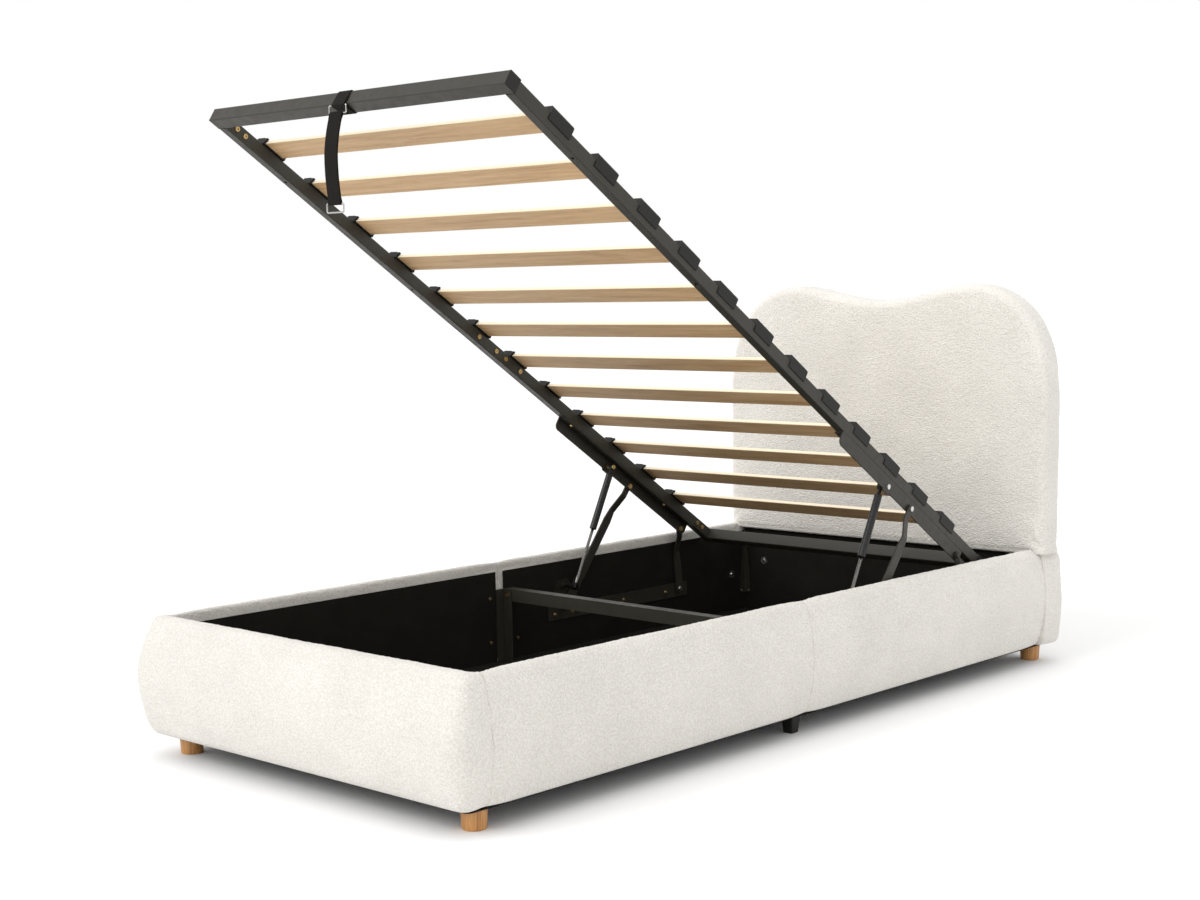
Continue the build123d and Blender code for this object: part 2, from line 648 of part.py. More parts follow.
# Gas struts: the black cylinder hangs on the frame and the rod comes out of its lower end
strut_length = hypot(STRUT_TOP[0] - STRUT_BASE[0], STRUT_TOP[1] - STRUT_BASE[1])
strut_slope = atan2(STRUT_BASE[1] - STRUT_TOP[1], STRUT_BASE[0] - STRUT_TOP[0])
strut_down = (0, cos(strut_slope), sin(strut_slope))
strut_plane = Plane(origin=(STRUT_X, STRUT_TOP[0], STRUT_TOP[1]), x_dir=(1, 0, 0), z_dir=strut_down)
CYLINDER_RADIUS = 9.0
ROD_RADIUS = 4.0
CYLINDER_FROM, CYLINDER_TO = 20.0, 172.0
with BuildPart(strut_plane) as strut_cylinder_right:
    with Locations((0, 0, CYLINDER_FROM)):
        Cylinder(CYLINDER_RADIUS, CYLINDER_TO - CYLINDER_FROM, align=(Align.CENTER, Align.CENTER, Align.MIN))
    fillet(strut_cylinder_right.edges(), 2.5)
    with Locations((0, 0, CYLINDER_FROM + 6)):
        Cylinder(ROD_RADIUS + 0.05, 300, align=(Align.CENTER, Align.CENTER, Align.MIN), mode=Mode.SUBTRACT)
save(strut_cylinder_right, "strut_cylinder_right")
save(mirrored(strut_cylinder_right), "strut_cylinder_left")

with BuildPart() as strut_socket_right:
    with BuildSketch(Plane.YZ.offset(STRUT_X - 5)):
        with Locations(STRUT_TOP):
            Circle(8.5)
    extrude(amount=10)
    with BuildSketch(strut_plane.offset(5.5)):
        Circle(4.4)
    extrude(amount=CYLINDER_FROM - 5.5)
    with BuildSketch(Plane.YZ.offset(STRUT_X - 20)):
        with Locations(STRUT_TOP):
            Circle(PIN_RADIUS + PIN_PLAY)
    extrude(amount=40, mode=Mode.SUBTRACT)
save(strut_socket_right, "strut_socket_right")
save(mirrored(strut_socket_right), "strut_socket_left")

with BuildPart() as strut_rod_right:
    with BuildSketch(strut_plane.offset(CYLINDER_FROM + 84)):
        Circle(ROD_RADIUS)
    extrude(amount=strut_length - CYLINDER_FROM - 84 - 14)
    with BuildSketch(strut_plane.offset(strut_length - 20)):
        Circle(4.7)
    extrude(amount=14)
    with BuildSketch(Plane.YZ.offset(STRUT_X - 7.5)):
        with Locations(STRUT_BASE):
            Circle(6)
    extrude(amount=4)
    with BuildSketch(Plane.YZ.offset(STRUT_X - 5.5)):
        with Locations(STRUT_BASE):
            Circle(8.5)
    extrude(amount=11)
    with BuildSketch(Plane.YZ.offset(STRUT_X + 4)):
        with Locations(STRUT_BASE):
            Circle(PIN_RADIUS)
    extrude(amount=ARM_LOW_X - 0.5 - STRUT_X - 4)
save(strut_rod_right, "strut_rod_right")
save(mirrored(strut_rod_right), "strut_rod_left")

# Pull strap: a webbing loop tight round the foot tube holds a wire buckle, from which the tail hangs
STRAP_WIDTH = 38.0
STRAP_THICK = 1.8
WIRE_RADIUS = 1.5
LOOP_X = -14.0
TAIL_TOP_X = -21.0
TAIL_LOW_X = -34.5
TAIL_LENGTH = 168.0
BUCKLE_DROP = 15.0
WIRE_PLACE = (FRAME_LENGTH + 0.8, -2.6)
strap_s = FRAME_LENGTH - END_TUBE / 2
WIRE_Y, WIRE_Z = frame_point(*WIRE_PLACE, OPEN_Y, OPEN_Z, LIFT)
loop_plane = side_section.offset(-(LOOP_X + STRAP_WIDTH / 2))
with BuildPart() as strap_loop:
    with BuildSketch(loop_plane):
        with Locations((strap_s, END_TUBE / 2)):
            RectangleRounded(END_TUBE + 2 * STRAP_THICK, END_TUBE + 2 * STRAP_THICK, 4)
        with Locations(WIRE_PLACE):
            Circle(WIRE_RADIUS + 0.3 + STRAP_THICK)
        make_hull()
    extrude(amount=STRAP_WIDTH)
    with BuildSketch(loop_plane):
        with Locations((strap_s, END_TUBE / 2)):
            RectangleRounded(END_TUBE + 0.02, END_TUBE + 0.02, 2.4)
        with Locations(WIRE_PLACE):
            Circle(WIRE_RADIUS + 0.3)
        make_hull()
    extrude(amount=STRAP_WIDTH, mode=Mode.SUBTRACT)
save(strap_loop, "strap_loop")


def wire_frame(x_middle, z_low, z_high):
    # a closed rectangle of round wire that hangs across the strap
    half = STRAP_WIDTH / 2 + 6
    corners = [(x_middle - half, z_low), (x_middle + half, z_low), (x_middle + half, z_high), (x_middle - half, z_high)]
    with BuildPart() as wire:
        with BuildLine():
            FilletPolyline(*[(x, WIRE_Y, z) for x, z in corners], radius=3, close=True)
        with BuildSketch(Plane(origin=(x_middle, WIRE_Y, z_low), z_dir=(1, 0, 0))):
            Circle(WIRE_RADIUS)
        sweep()
    return wire


tail_top = WIRE_Z - BUCKLE_DROP
tail_bottom = tail_top - TAIL_LENGTH
strap_buckle = wire_frame((LOOP_X + TAIL_TOP_X) / 2, tail_top, WIRE_Z)
save(strap_buckle, "strap_buckle")
strap_ring = wire_frame(TAIL_LOW_X, tail_bottom - 17, tail_bottom)
save(strap_ring, "strap_ring")

# The tail drifts sideways and bows towards the foot on its way down, and is folded round a wire at each end
tail_steps = [(0, 0.0, 0.0), (0.2, 0.32, -7.0), (0.45, 0.72, -9.0), (0.75, 0.95, -4.0), (1, 1.0, 0.0)]
with BuildPart() as strap_tail:
    for share, drift, bow in tail_steps:
        x = TAIL_TOP_X + drift * (TAIL_LOW_X - TAIL_TOP_X)
        z = tail_top - WIRE_RADIUS - 1.0 - share * (TAIL_LENGTH - 2 * WIRE_RADIUS - 2.0)
        with BuildSketch(Plane.XY.offset(z)):
            with Locations((x, WIRE_Y + bow)):
                Rectangle(STRAP_WIDTH, 2 * STRAP_THICK)
    loft()
    for x, z in ((TAIL_TOP_X, tail_top), (TAIL_LOW_X, tail_bottom)):
        with BuildSketch(Plane.YZ.offset(x - STRAP_WIDTH / 2)):
            with Locations((WIRE_Y, z)):
                Circle(WIRE_RADIUS + STRAP_THICK)
        extrude(amount=STRAP_WIDTH)
        with BuildSketch(Plane.YZ.offset(x - STRAP_WIDTH / 2)):
            with Locations((WIRE_Y, z)):
                Circle(WIRE_RADIUS + PIN_PLAY)
        extrude(amount=STRAP_WIDTH, mode=Mode.SUBTRACT)
save(strap_tail, "strap_tail")
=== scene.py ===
import json
import math

import bpy
import numpy as np
from mathutils import Matrix, Vector


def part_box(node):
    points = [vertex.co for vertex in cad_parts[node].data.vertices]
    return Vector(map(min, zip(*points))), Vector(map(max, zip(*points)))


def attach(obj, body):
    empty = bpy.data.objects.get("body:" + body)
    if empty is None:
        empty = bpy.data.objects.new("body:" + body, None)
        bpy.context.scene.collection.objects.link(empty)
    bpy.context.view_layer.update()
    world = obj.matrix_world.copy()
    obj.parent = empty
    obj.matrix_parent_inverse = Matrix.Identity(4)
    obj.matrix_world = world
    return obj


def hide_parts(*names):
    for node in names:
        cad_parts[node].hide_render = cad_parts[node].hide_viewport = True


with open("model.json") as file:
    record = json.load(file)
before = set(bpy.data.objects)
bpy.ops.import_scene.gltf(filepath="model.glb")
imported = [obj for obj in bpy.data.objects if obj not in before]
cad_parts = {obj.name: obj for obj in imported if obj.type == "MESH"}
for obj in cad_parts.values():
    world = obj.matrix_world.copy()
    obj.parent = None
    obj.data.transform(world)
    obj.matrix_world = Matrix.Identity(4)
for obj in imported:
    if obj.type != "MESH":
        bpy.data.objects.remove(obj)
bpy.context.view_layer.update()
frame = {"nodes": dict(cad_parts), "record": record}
scene = bpy.context.scene
nodes = frame["nodes"]

# Sizes that the pieces below share with the solids, in metres: the slatted frame's angle at rest, the place
# of its head end, its length and tubes, the joint and the head end of the box, the strap, and the gas struts
LIFT = math.radians(33.35)
OPEN_Y, OPEN_Z = 0.765, 0.260
FRAME_LENGTH = 1.909
END_TUBE = 0.030
TUBE_ROUND = 0.0025
SLAT_PITCH = 0.1416
MID_Y = -0.009
HEAD_Y = 0.970
PANEL_BOTTOM = 0.045
STRAP_WIDTH = 0.038
STRAP_THICK = 0.0018
WIRE_RADIUS = 0.0015
TAIL_LENGTH = 0.168
TAIL_BOW = 0.0092
STRUT_X = 0.415
STRUT_PIN = (0.470, -0.020)
STRUT_BASE = Vector((0.215, 0.206))
BORE_MOUTH = 0.104
ROD_RADIUS = 0.00395
ROD_NECK_RADIUS = 0.0052

# The camera: its place in metres, its angles in degrees, and the photograph's own pixels
CAMERA_PLACE = (2.765, -3.116, 0.947)
AZIMUTH, PITCH, ROLL = 42.874, 8.438, -0.865
PHOTO_WIDTH, PHOTO_HEIGHT = 1200, 900
FOCAL_PIXELS = 1828.39
CENTRE_X, CENTRE_Y = 599.57, 564.26
SENSOR_WIDTH = 36

# The padded covers: how small each starts, how far its filling may push it, how far the lined side is drawn
# back, and the depth and half width of the groove at a seam and of the softer hollow round it
VOXEL = 0.007
SHRINK = 0.0025
SWELL_CAP = 0.004
SWELL_STEPS = 20
LINED_PULL = 0.0006
SEAM_DIPS = ((0.0008, 0.008), (0.0026, 0.035))
SEAM_CLOSING = 0.0022

# The linings: their cell size, their distance from the panels and how far they ripple
LINING_CELL = 0.012
LINING_GAP = 0.0004
LINING_RIPPLE = 0.0012


def frame_point(s, h):
    # a place on the slatted frame: s from its head end, h above the underside of its tubes
    y = OPEN_Y - s * math.cos(LIFT) + h * math.sin(LIFT)
    z = OPEN_Z + s * math.sin(LIFT) + h * math.cos(LIFT)
    return y, z


def place_camera():
    azimuth, pitch, roll = math.radians(AZIMUTH), math.radians(PITCH), math.radians(ROLL)
    ahead = math.cos(pitch)
    forward = Vector((-math.sin(azimuth) * ahead, math.cos(azimuth) * ahead, -math.sin(pitch)))
    level = Vector((math.cos(azimuth), math.sin(azimuth), 0))
    upright = level.cross(forward)
    right = math.cos(roll) * level + math.sin(roll) * upright
    up = math.cos(roll) * upright - math.sin(roll) * level
    camera = bpy.data.objects.new("camera", bpy.data.cameras.new("camera"))
    scene.collection.objects.link(camera)
    turn = Matrix((right, up, -forward)).transposed().to_4x4()
    camera.matrix_world = Matrix.Translation(CAMERA_PLACE) @ turn
    camera.data.sensor_width = SENSOR_WIDTH
    camera.data.lens = FOCAL_PIXELS / PHOTO_WIDTH * SENSOR_WIDTH
    camera.data.shift_x = (PHOTO_WIDTH / 2 - CENTRE_X) / PHOTO_WIDTH
    camera.data.shift_y = (CENTRE_Y - PHOTO_HEIGHT / 2) / PHOTO_WIDTH
    camera.data.clip_start = 0.05
    scene.camera = camera


place_camera()


# Materials are node trees in the coordinates of the object, so they move with each piece
def new_material(name, colour, roughness, **sockets):
    material = bpy.data.materials.new(name)
    material.use_nodes = True
    shader = material.node_tree.nodes["Principled BSDF"]
    shader.inputs["Base Color"].default_value = (*colour, 1)
    shader.inputs["Roughness"].default_value = roughness
    for socket, value in sockets.items():
        shader.inputs[socket.replace("_", " ").title().replace("Ior", "IOR")].default_value = value
    return material, shader


def add_node(material, kind, inputs=None, **settings):
    made = material.node_tree.nodes.new("ShaderNode" + kind)
    for name, value in settings.items():
        setattr(made, name, value)
    for name, value in (inputs or {}).items():
        if isinstance(value, bpy.types.NodeSocket):
            material.node_tree.links.new(value, made.inputs[name])
        else:
            made.inputs[name].default_value = value
    return made


def link(material, source, target):
    material.node_tree.links.new(source, target)


def coordinates(material, scale=(1, 1, 1), rotation=(0, 0, 0), kind="Object"):
    place = add_node(material, "TexCoord")
    return add_node(
        material, "Mapping", {"Vector": place.outputs[kind], "Scale": scale, "Rotation": rotation}
    ).outputs["Vector"]


def noise(material, vector, scale, detail=3.0, roughness=0.5, distortion=0.0):
    inputs = {
        "Vector": vector,
        "Scale": scale,
        "Detail": detail,
        "Roughness": roughness,
        "Distortion": distortion,
    }
    return add_node(material, "TexNoise", inputs).outputs["Fac"]


def ramp(material, factor, stops):
    made = add_node(material, "ValToRGB", {"Fac": factor})
    elements = made.color_ramp.elements
    while len(elements) < len(stops):
        elements.new(0.5)
    for element, (position, colour) in zip(elements, stops):
        element.position = position
        element.color = (*colour, 1)
    return made.outputs["Color"]


def spread(material, factor, low, high, start=0.3, end=0.7):
    inputs = {"Value": factor, "From Min": start, "From Max": end, "To Min": low, "To Max": high}
    return add_node(material, "MapRange", inputs).outputs["Result"]


def mix(material, factor, a, b, blend="MIX"):
    made = add_node(material, "Mix", data_type="RGBA", blend_type=blend)
    for socket, value in zip((made.inputs[0], made.inputs[6], made.inputs[7]), (factor, a, b)):
        if isinstance(value, bpy.types.NodeSocket):
            link(material, value, socket)
        else:
            socket.default_value = value if isinstance(value, float) else (*value, 1)
    return made.outputs[2]


def maths(material, operation, *values):
    made = add_node(material, "Math", operation=operation)
    for socket, value in zip(made.inputs, values):
        if isinstance(value, bpy.types.NodeSocket):
            link(material, value, socket)
        else:
            socket.default_value = value
    return made.outputs["Value"]


def bump(material, shader, height, distance, strength=1.0):
    made = add_node(material, "Bump", {"Height": height, "Distance": distance, "Strength": strength})
    link(material, made.outputs["Normal"], shader.inputs["Normal"])


def looped_fabric():
    material, shader = new_material(
        "cream_loops",
        (0.74, 0.71, 0.65),
        0.95,
        sheen_weight=0.25,
        sheen_roughness=0.6,
        specular_ior_level=0.1,
    )
    place = coordinates(material)
    warp = add_node(material, "TexNoise", {"Vector": place, "Scale": 160.0, "Detail": 2.0}).outputs["Color"]
    bent = add_node(material, "Mix", data_type="VECTOR")
    bent.inputs[0].default_value = 0.004
    link(material, place, bent.inputs[4])
    link(material, warp, bent.inputs[5])
    clumps = add_node(
        material,
        "TexVoronoi",
        {"Vector": bent.outputs[1], "Scale": 260.0, "Smoothness": 0.6},
        feature="SMOOTH_F1",
    ).outputs["Distance"]
    hairs = noise(material, place, 900.0, 4.0, 0.65)
    fine = maths(material, "MULTIPLY", hairs, 0.5)
    height = maths(material, "SUBTRACT", fine, clumps)
    # the cream is lighter on the loops and darker in the hollows between them, where the bump is lowest:
    # painted shade in the hollows
    shade = ramp(material, clumps, [(0.0, (0.86, 0.835, 0.785)), (0.65, (0.69, 0.66, 0.60))])
    patches = spread(material, noise(material, place, 9.0, 3.0), 0.955, 1.03)
    tint = add_node(material, "HueSaturation", {"Color": shade, "Value": patches, "Saturation": 0.9})
    link(material, tint.outputs["Color"], shader.inputs["Base Color"])
    bump(material, shader, height, 0.0022, 0.9)
    return material


def black_cloth():
    material, shader = new_material("black_cloth", (0.010, 0.009, 0.007), 0.9, specular_ior_level=0.15)
    place = coordinates(material)
    waves = [
        add_node(
            material,
            "TexWave",
            {"Vector": place, "Scale": 320.0, "Distortion": 0.6, "Detail": 1.0},
            bands_direction=axis,
        ).outputs["Fac"]
        for axis in ("X", "Y", "Z")
    ]
    weave = maths(material, "MULTIPLY", maths(material, "ADD", waves[0], waves[1]), waves[2])
    cloudy = noise(material, place, 14.0, 4.0)
    shade = ramp(material, cloudy, [(0.3, (0.0085, 0.0075, 0.0055)), (0.75, (0.0125, 0.011, 0.0085))])
    link(material, shade, shader.inputs["Base Color"])
    bump(material, shader, weave, 0.0004, 0.5)
    return material


def powder_coat(name, colour, roughness=0.42):
    material, shader = new_material(name, colour, roughness, specular_ior_level=0.32)
    place = coordinates(material)
    cloudy = noise(material, place, 22.0, 4.0)
    darker = tuple(0.8 * part for part in colour)
    lighter = tuple(1.22 * part for part in colour)
    base = ramp(material, cloudy, [(0.3, darker), (0.72, lighter)])
    edges = add_node(material, "NewGeometry").outputs["Pointiness"]
    worn = ramp(material, edges, [(0.50, (0, 0, 0)), (0.62, (0.5, 0.5, 0.5))])
    bare = tuple(3.0 * part for part in colour)
    link(material, mix(material, worn, base, bare), shader.inputs["Base Color"])
    gloss = spread(material, noise(material, place, 60.0, 3.0), roughness - 0.06, roughness + 0.09)
    link(material, gloss, shader.inputs["Roughness"])
    bump(material, shader, noise(material, place, 1100.0, 2.0), 0.0002, 0.35)
    return material


def metal(name, colour, roughness, scale=300.0):
    material, shader = new_material(name, colour, roughness, metallic=1.0)
    place = coordinates(material)
    cloudy = noise(material, place, scale, 3.0)
    darker = tuple(0.72 * part for part in colour)
    link(material, ramp(material, cloudy, [(0.3, darker), (0.7, colour)]), shader.inputs["Base Color"])
    link(material, spread(material, cloudy, roughness - 0.05, roughness + 0.12), shader.inputs["Roughness"])
    bump(material, shader, noise(material, place, 4 * scale, 2.0), 0.00008, 0.4)
    return material


def plastic(name, colour, roughness):
    material, shader = new_material(name, colour, roughness, specular_ior_level=0.3)
    place = coordinates(material)
    grain = noise(material, place, 1500.0, 3.0)
    lighter = tuple(1.3 * part for part in colour)
    shade = ramp(material, noise(material, place, 30.0), [(0.3, colour), (0.8, lighter)])
    link(material, shade, shader.inputs["Base Color"])
    link(material, spread(material, grain, roughness - 0.05, roughness + 0.1), shader.inputs["Roughness"])
    bump(material, shader, grain, 0.00012, 0.4)
    return material


def slat_wood():
    # streaks along each slat and a tint of its own on its faces, and the lighter plies on its two edges
    material, shader = new_material("birch_slats", (0.62, 0.44, 0.24), 0.5, specular_ior_level=0.35)
    turned = coordinates(material, rotation=(LIFT, 0, 0))
    along = add_node(material, "SeparateXYZ", {"Vector": turned}).outputs["Y"]
    number = maths(material, "ROUND", maths(material, "DIVIDE", along, SLAT_PITCH))
    own = add_node(material, "TexWhiteNoise", {"W": number}, noise_dimensions="1D").outputs["Value"]
    stretch = add_node(material, "Mapping", {"Vector": turned, "Scale": (5.0, 95.0, 260.0)})
    stretched = stretch.outputs["Vector"]
    offset = add_node(material, "CombineXYZ", {"X": maths(material, "MULTIPLY", own, 9.0)})
    moved = add_node(material, "VectorMath", {0: stretched, 1: offset.outputs[0]}, operation="ADD").outputs[0]
    streaks = noise(material, moved, 1.0, 6.0, 0.62, 0.8)
    fibres = noise(material, moved, 5.0, 3.0, 0.6)
    stops = [
        (0.28, (0.40, 0.235, 0.105)),
        (0.45, (0.54, 0.345, 0.175)),
        (0.62, (0.62, 0.42, 0.23)),
        (0.8, (0.67, 0.48, 0.28)),
    ]
    face = ramp(material, streaks, stops)
    fibre_tint = spread(material, fibres, 0.9, 1.07)
    own_tint = spread(material, own, 0.90, 1.08, 0.0, 1.0)
    toned = add_node(
        material, "HueSaturation", {"Color": face, "Value": maths(material, "MULTIPLY", fibre_tint, own_tint)}
    ).outputs["Color"]
    plies = add_node(
        material, "TexWave", {"Vector": turned, "Scale": 210.0, "Distortion": 0.4}, bands_direction="Z"
    )
    ply_colour = ramp(material, plies.outputs["Fac"], [(0.2, (0.88, 0.80, 0.64)), (0.85, (0.80, 0.68, 0.47))])
    normal = add_node(material, "TexCoord").outputs["Normal"]
    turned_normal = add_node(
        material,
        "VectorRotate",
        {"Vector": normal, "Axis": (1, 0, 0), "Angle": LIFT},
        rotation_type="AXIS_ANGLE",
    ).outputs["Vector"]
    endways = add_node(material, "SeparateXYZ", {"Vector": turned_normal}).outputs["Y"]
    edge = spread(material, maths(material, "ABSOLUTE", endways), 0.0, 1.0, 0.5, 0.75)
    link(material, mix(material, edge, toned, ply_colour), shader.inputs["Base Color"])
    link(material, spread(material, streaks, 0.42, 0.6), shader.inputs["Roughness"])
    bump(material, shader, fibres, 0.0003, 0.4)
    return material


def leg_wood():
    material, shader = new_material("oiled_oak", (0.5, 0.24, 0.07), 0.4, coat_weight=0.15, coat_roughness=0.3)
    place = coordinates(material, scale=(160.0, 160.0, 9.0))
    rings = noise(material, place, 1.0, 5.0, 0.6, 1.2)
    stops = [(0.3, (0.27, 0.105, 0.025)), (0.5, (0.50, 0.235, 0.068)), (0.75, (0.64, 0.345, 0.12))]
    link(material, ramp(material, rings, stops), shader.inputs["Base Color"])
    link(material, spread(material, rings, 0.32, 0.5), shader.inputs["Roughness"])
    bump(material, shader, rings, 0.0003, 0.5)
    return material


def webbing():
    material, shader = new_material("webbing", (0.007, 0.006, 0.0048), 0.8, specular_ior_level=0.15)
    place = coordinates(material, kind="UV")
    rows = add_node(material, "TexWave", {"Vector": place, "Scale": 520.0}, bands_direction="DIAGONAL")
    cords = add_node(material, "TexWave", {"Vector": place, "Scale": 300.0}, bands_direction="Y")
    weave = maths(material, "ADD", rows.outputs["Fac"], cords.outputs["Fac"])
    # the black is darker in the weave's grooves than on its ridges, following the bump: painted shade in the
    # grooves
    shade = ramp(material, weave, [(0.2, (0.003, 0.0027, 0.0022)), (0.9, (0.013, 0.0115, 0.009))])
    link(material, shade, shader.inputs["Base Color"])
    bump(material, shader, weave, 0.0005, 0.7)
    return material


finishes = {
    "upholstery": looped_fabric(),
    "lining": black_cloth(),
    "board": black_cloth(),
    "leg_wood": leg_wood(),
    "slat_wood": slat_wood(),
    "black_steel": powder_coat("black_powder_coat", (0.017, 0.0155, 0.0115)),
    "black_plastic": plastic("black_plastic", (0.008, 0.0075, 0.0065), 0.5),
    "brass_plated": metal("yellow_zinc", (0.62, 0.44, 0.20), 0.32),
    "zinc": metal("zinc", (0.62, 0.61, 0.58), 0.35),
    "strut_black": powder_coat("strut_black", (0.012, 0.012, 0.012), 0.25),
    "chrome": metal("chrome", (0.58, 0.57, 0.55), 0.16),
    "webbing": webbing(),
}
# the strut rods are chrome, but their metal colour is set far darker than chrome: a painted reflection of
# dark surroundings
rod_painted_reflection = metal("painted_reflection_rod", (0.20, 0.195, 0.185), 0.18)


def two_tone_pins():
    # yellow zinc inside the bed and bright zinc on the outer heads of the right side
    material, shader = new_material("lift_pins", (0.62, 0.44, 0.20), 0.32, metallic=1.0)
    place = coordinates(material)
    across = add_node(material, "SeparateXYZ", {"Vector": place}).outputs["X"]
    heads_from, heads_to = 0.4330, 0.4345
    outer = spread(material, across, 0.0, 1.0, heads_from, heads_to)
    cloudy = noise(material, place, 400.0)
    yellow = ramp(material, cloudy, [(0.3, (0.42, 0.28, 0.11)), (0.7, (0.62, 0.44, 0.20))])
    bright = ramp(material, cloudy, [(0.3, (0.50, 0.50, 0.48)), (0.7, (0.72, 0.72, 0.70))])
    link(material, mix(material, outer, yellow, bright), shader.inputs["Base Color"])
    link(material, spread(material, cloudy, 0.28, 0.42), shader.inputs["Roughness"])
    return material


special_finishes = {
    "strut_rod_right": rod_painted_reflection,
    "strut_rod_left": rod_painted_reflection,
    "bracket_pins": two_tone_pins(),
}
slot_of = {entry["node"]: entry["material_slot"] for entry in frame["record"]["subparts"]}
for name, piece in nodes.items():
    piece.data.materials.clear()
    piece.data.materials.append(special_finishes.get(name, finishes[slot_of[name]]))


def finish_piece(piece, slot, body, *stands_for):
    piece.data.materials.clear()
    piece.data.materials.append(finishes[slot])
    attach(piece, body)
    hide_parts(*stands_for)


def new_object(name, mesh):
    piece = bpy.data.objects.new(name, mesh)
    scene.collection.objects.link(piece)
    return piece


def evaluated_mesh(piece):
    bpy.context.view_layer.update()
    graph = bpy.context.evaluated_depsgraph_get()
    return bpy.data.meshes.new_from_object(piece.evaluated_get(graph))


def points_of(mesh):
    places = np.zeros(len(mesh.vertices) * 3)
    mesh.vertices.foreach_get("co", places)
    return places.reshape(-1, 3)


def normals_of(mesh):
    directions = np.zeros(len(mesh.vertices) * 3)
    mesh.vertices.foreach_get("normal", directions)
    return directions.reshape(-1, 3)


# Padded covers: an even skin over each padded solid, swollen by pressure, drawn in at its seams and raised
# into small loops
nap_textures = {}
for name, size, depth in (("nap", 0.0045, 2), ("tufts", 0.013, 2), ("softness", 0.16, 1)):
    nap_textures[name] = bpy.data.textures.new(name, "CLOUDS")
    nap_textures[name].noise_scale = size
    nap_textures[name].noise_depth = depth
lining_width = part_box("lining_foot")[1].x
lining_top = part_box("lining_foot")[1].z
gap_half = 0.012


def set_points(piece, places):
    piece.data.vertices.foreach_set("co", places.ravel())
    piece.data.update()


def weigh(piece, name, weights):
    group = piece.vertex_groups.new(name=name)
    steps = np.round(weights * 10).astype(int)
    for step in range(11):
        group.add([int(i) for i in np.nonzero(steps == step)[0]], step / 10, "REPLACE")


def swell(piece, free):
    start = points_of(piece.data) - normals_of(piece.data) * (SHRINK * free)[:, None]
    set_points(piece, start)
    weigh(piece, "held", 1 - free)
    filling = piece.modifiers.new("filling", "CLOTH")
    filling.settings.quality = 4
    filling.settings.mass = 0.3
    filling.settings.tension_stiffness = 15
    filling.settings.compression_stiffness = 15
    filling.settings.bending_stiffness = 0.5
    filling.settings.vertex_group_mass = "held"
    filling.settings.use_pressure = True
    filling.settings.uniform_pressure_force = 4
    filling.settings.effector_weights.gravity = 0
    filling.collision_settings.use_collision = False
    filling.point_cache.frame_end = SWELL_STEPS
    for step in range(1, SWELL_STEPS + 1):
        scene.frame_set(step)
    move = points_of(evaluated_mesh(piece)) - start
    piece.modifiers.clear()
    piece.vertex_groups.clear()
    length = np.linalg.norm(move, axis=1)
    set_points(piece, start + move * np.minimum(1, SWELL_CAP / np.maximum(length, 1e-9))[:, None])
    scene.frame_set(1)


def padded_cover(node, inwards=(0, 0, 0), seams=()):
    # inwards points to the lined side, and seams are (axis, place) planes where the cover is stitched
    piece = new_object(node + "_cover", nodes[node].data.copy())
    even = piece.modifiers.new("even", "REMESH")
    even.mode = "VOXEL"
    even.voxel_size = VOXEL
    relax = piece.modifiers.new("relax", "SMOOTH")
    relax.factor = 0.5
    relax.iterations = 2
    piece.data = evaluated_mesh(piece)
    piece.modifiers.clear()

    def looseness():
        # lined is 1 behind a lining, under is 1 on the underside, and free is how much the cover may move
        places, directions = points_of(piece.data), normals_of(piece.data)
        lined = np.clip(2.5 * directions @ np.array(inwards, dtype=float) - 0.5, 0, 1)
        lined *= np.clip((lining_top + 0.002 - places[:, 2]) / 0.004, 0, 1)
        lined *= np.where(np.abs(places[:, 1] - MID_Y) < gap_half, 0, 1)
        lined *= np.where(np.abs(places[:, 0]) < lining_width + 0.006, 1, 0)
        under = np.clip(-2 * directions[:, 2] - 0.5, 0, 1) * (places[:, 2] < PANEL_BOTTOM + 0.02)
        free = (1 - lined) * (1 - under)
        for axis, place in seams:
            free *= np.clip((np.abs(places[:, axis] - place) - 0.003) / 0.012, 0, 1)
        return places, directions, lined, free

    places, directions, lined, free = looseness()
    # the top edges of the lined panels stay straight
    top = places[:, 2].max()
    held_top = np.clip((places[:, 2] - top + 0.035) / 0.02, 0, 1) if any(inwards) else 0
    swell(piece, free * (1 - held_top))
    split = piece.modifiers.new("split", "SUBSURF")
    split.levels = split.render_levels = 1
    piece.data = evaluated_mesh(piece)
    piece.modifiers.clear()
    places, directions, lined, free = looseness()
    pull = LINED_PULL * lined
    meeting = np.zeros(places.shape)
    for axis, place in seams:
        away = np.abs(places[:, axis] - place)
        facing = np.abs(directions[:, axis])
        dip = sum(depth * np.exp(-((away / width) ** 2)) for depth, width in SEAM_DIPS)
        pull += dip * (1 - facing) * (1 - lined)
        closing = SEAM_CLOSING * facing * (1 - lined) * np.exp(-((away / 0.007) ** 2))
        meeting[:, axis] += np.sign(directions[:, axis]) * closing
    set_points(piece, places - directions * pull[:, None] + meeting)
    weigh(piece, "loose", free)
    for name, strength in (("softness", 0.003), ("tufts", 0.0016), ("nap", 0.0018)):
        raised = piece.modifiers.new(name, "DISPLACE")
        raised.texture = nap_textures[name]
        raised.texture_coords = "LOCAL"
        raised.strength = strength
        raised.mid_level = 0.5
        raised.vertex_group = "loose"
    piece.data = evaluated_mesh(piece)
    piece.modifiers.clear()
    piece.vertex_groups.clear()
    piece.data.polygons.foreach_set("use_smooth", [True] * len(piece.data.polygons))
    finish_piece(piece, "upholstery", "box", node)


foot_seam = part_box("foot_panel")[1].y
padded_cover("foot_panel", inwards=(0, 1, 0), seams=[(1, foot_seam)])
for side, inwards in (("right", (-1, 0, 0)), ("left", (1, 0, 0))):
    padded_cover("side_rail_foot_" + side, inwards, seams=[(1, foot_seam), (1, MID_Y)])
    padded_cover("side_rail_head_" + side, inwards, seams=[(1, MID_Y), (1, HEAD_Y)])
panel_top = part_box("head_panel")[1].z
padded_cover("head_panel", inwards=(0, -1, 0), seams=[(1, HEAD_Y), (2, panel_top)])
padded_cover("headboard", seams=[(2, panel_top)])


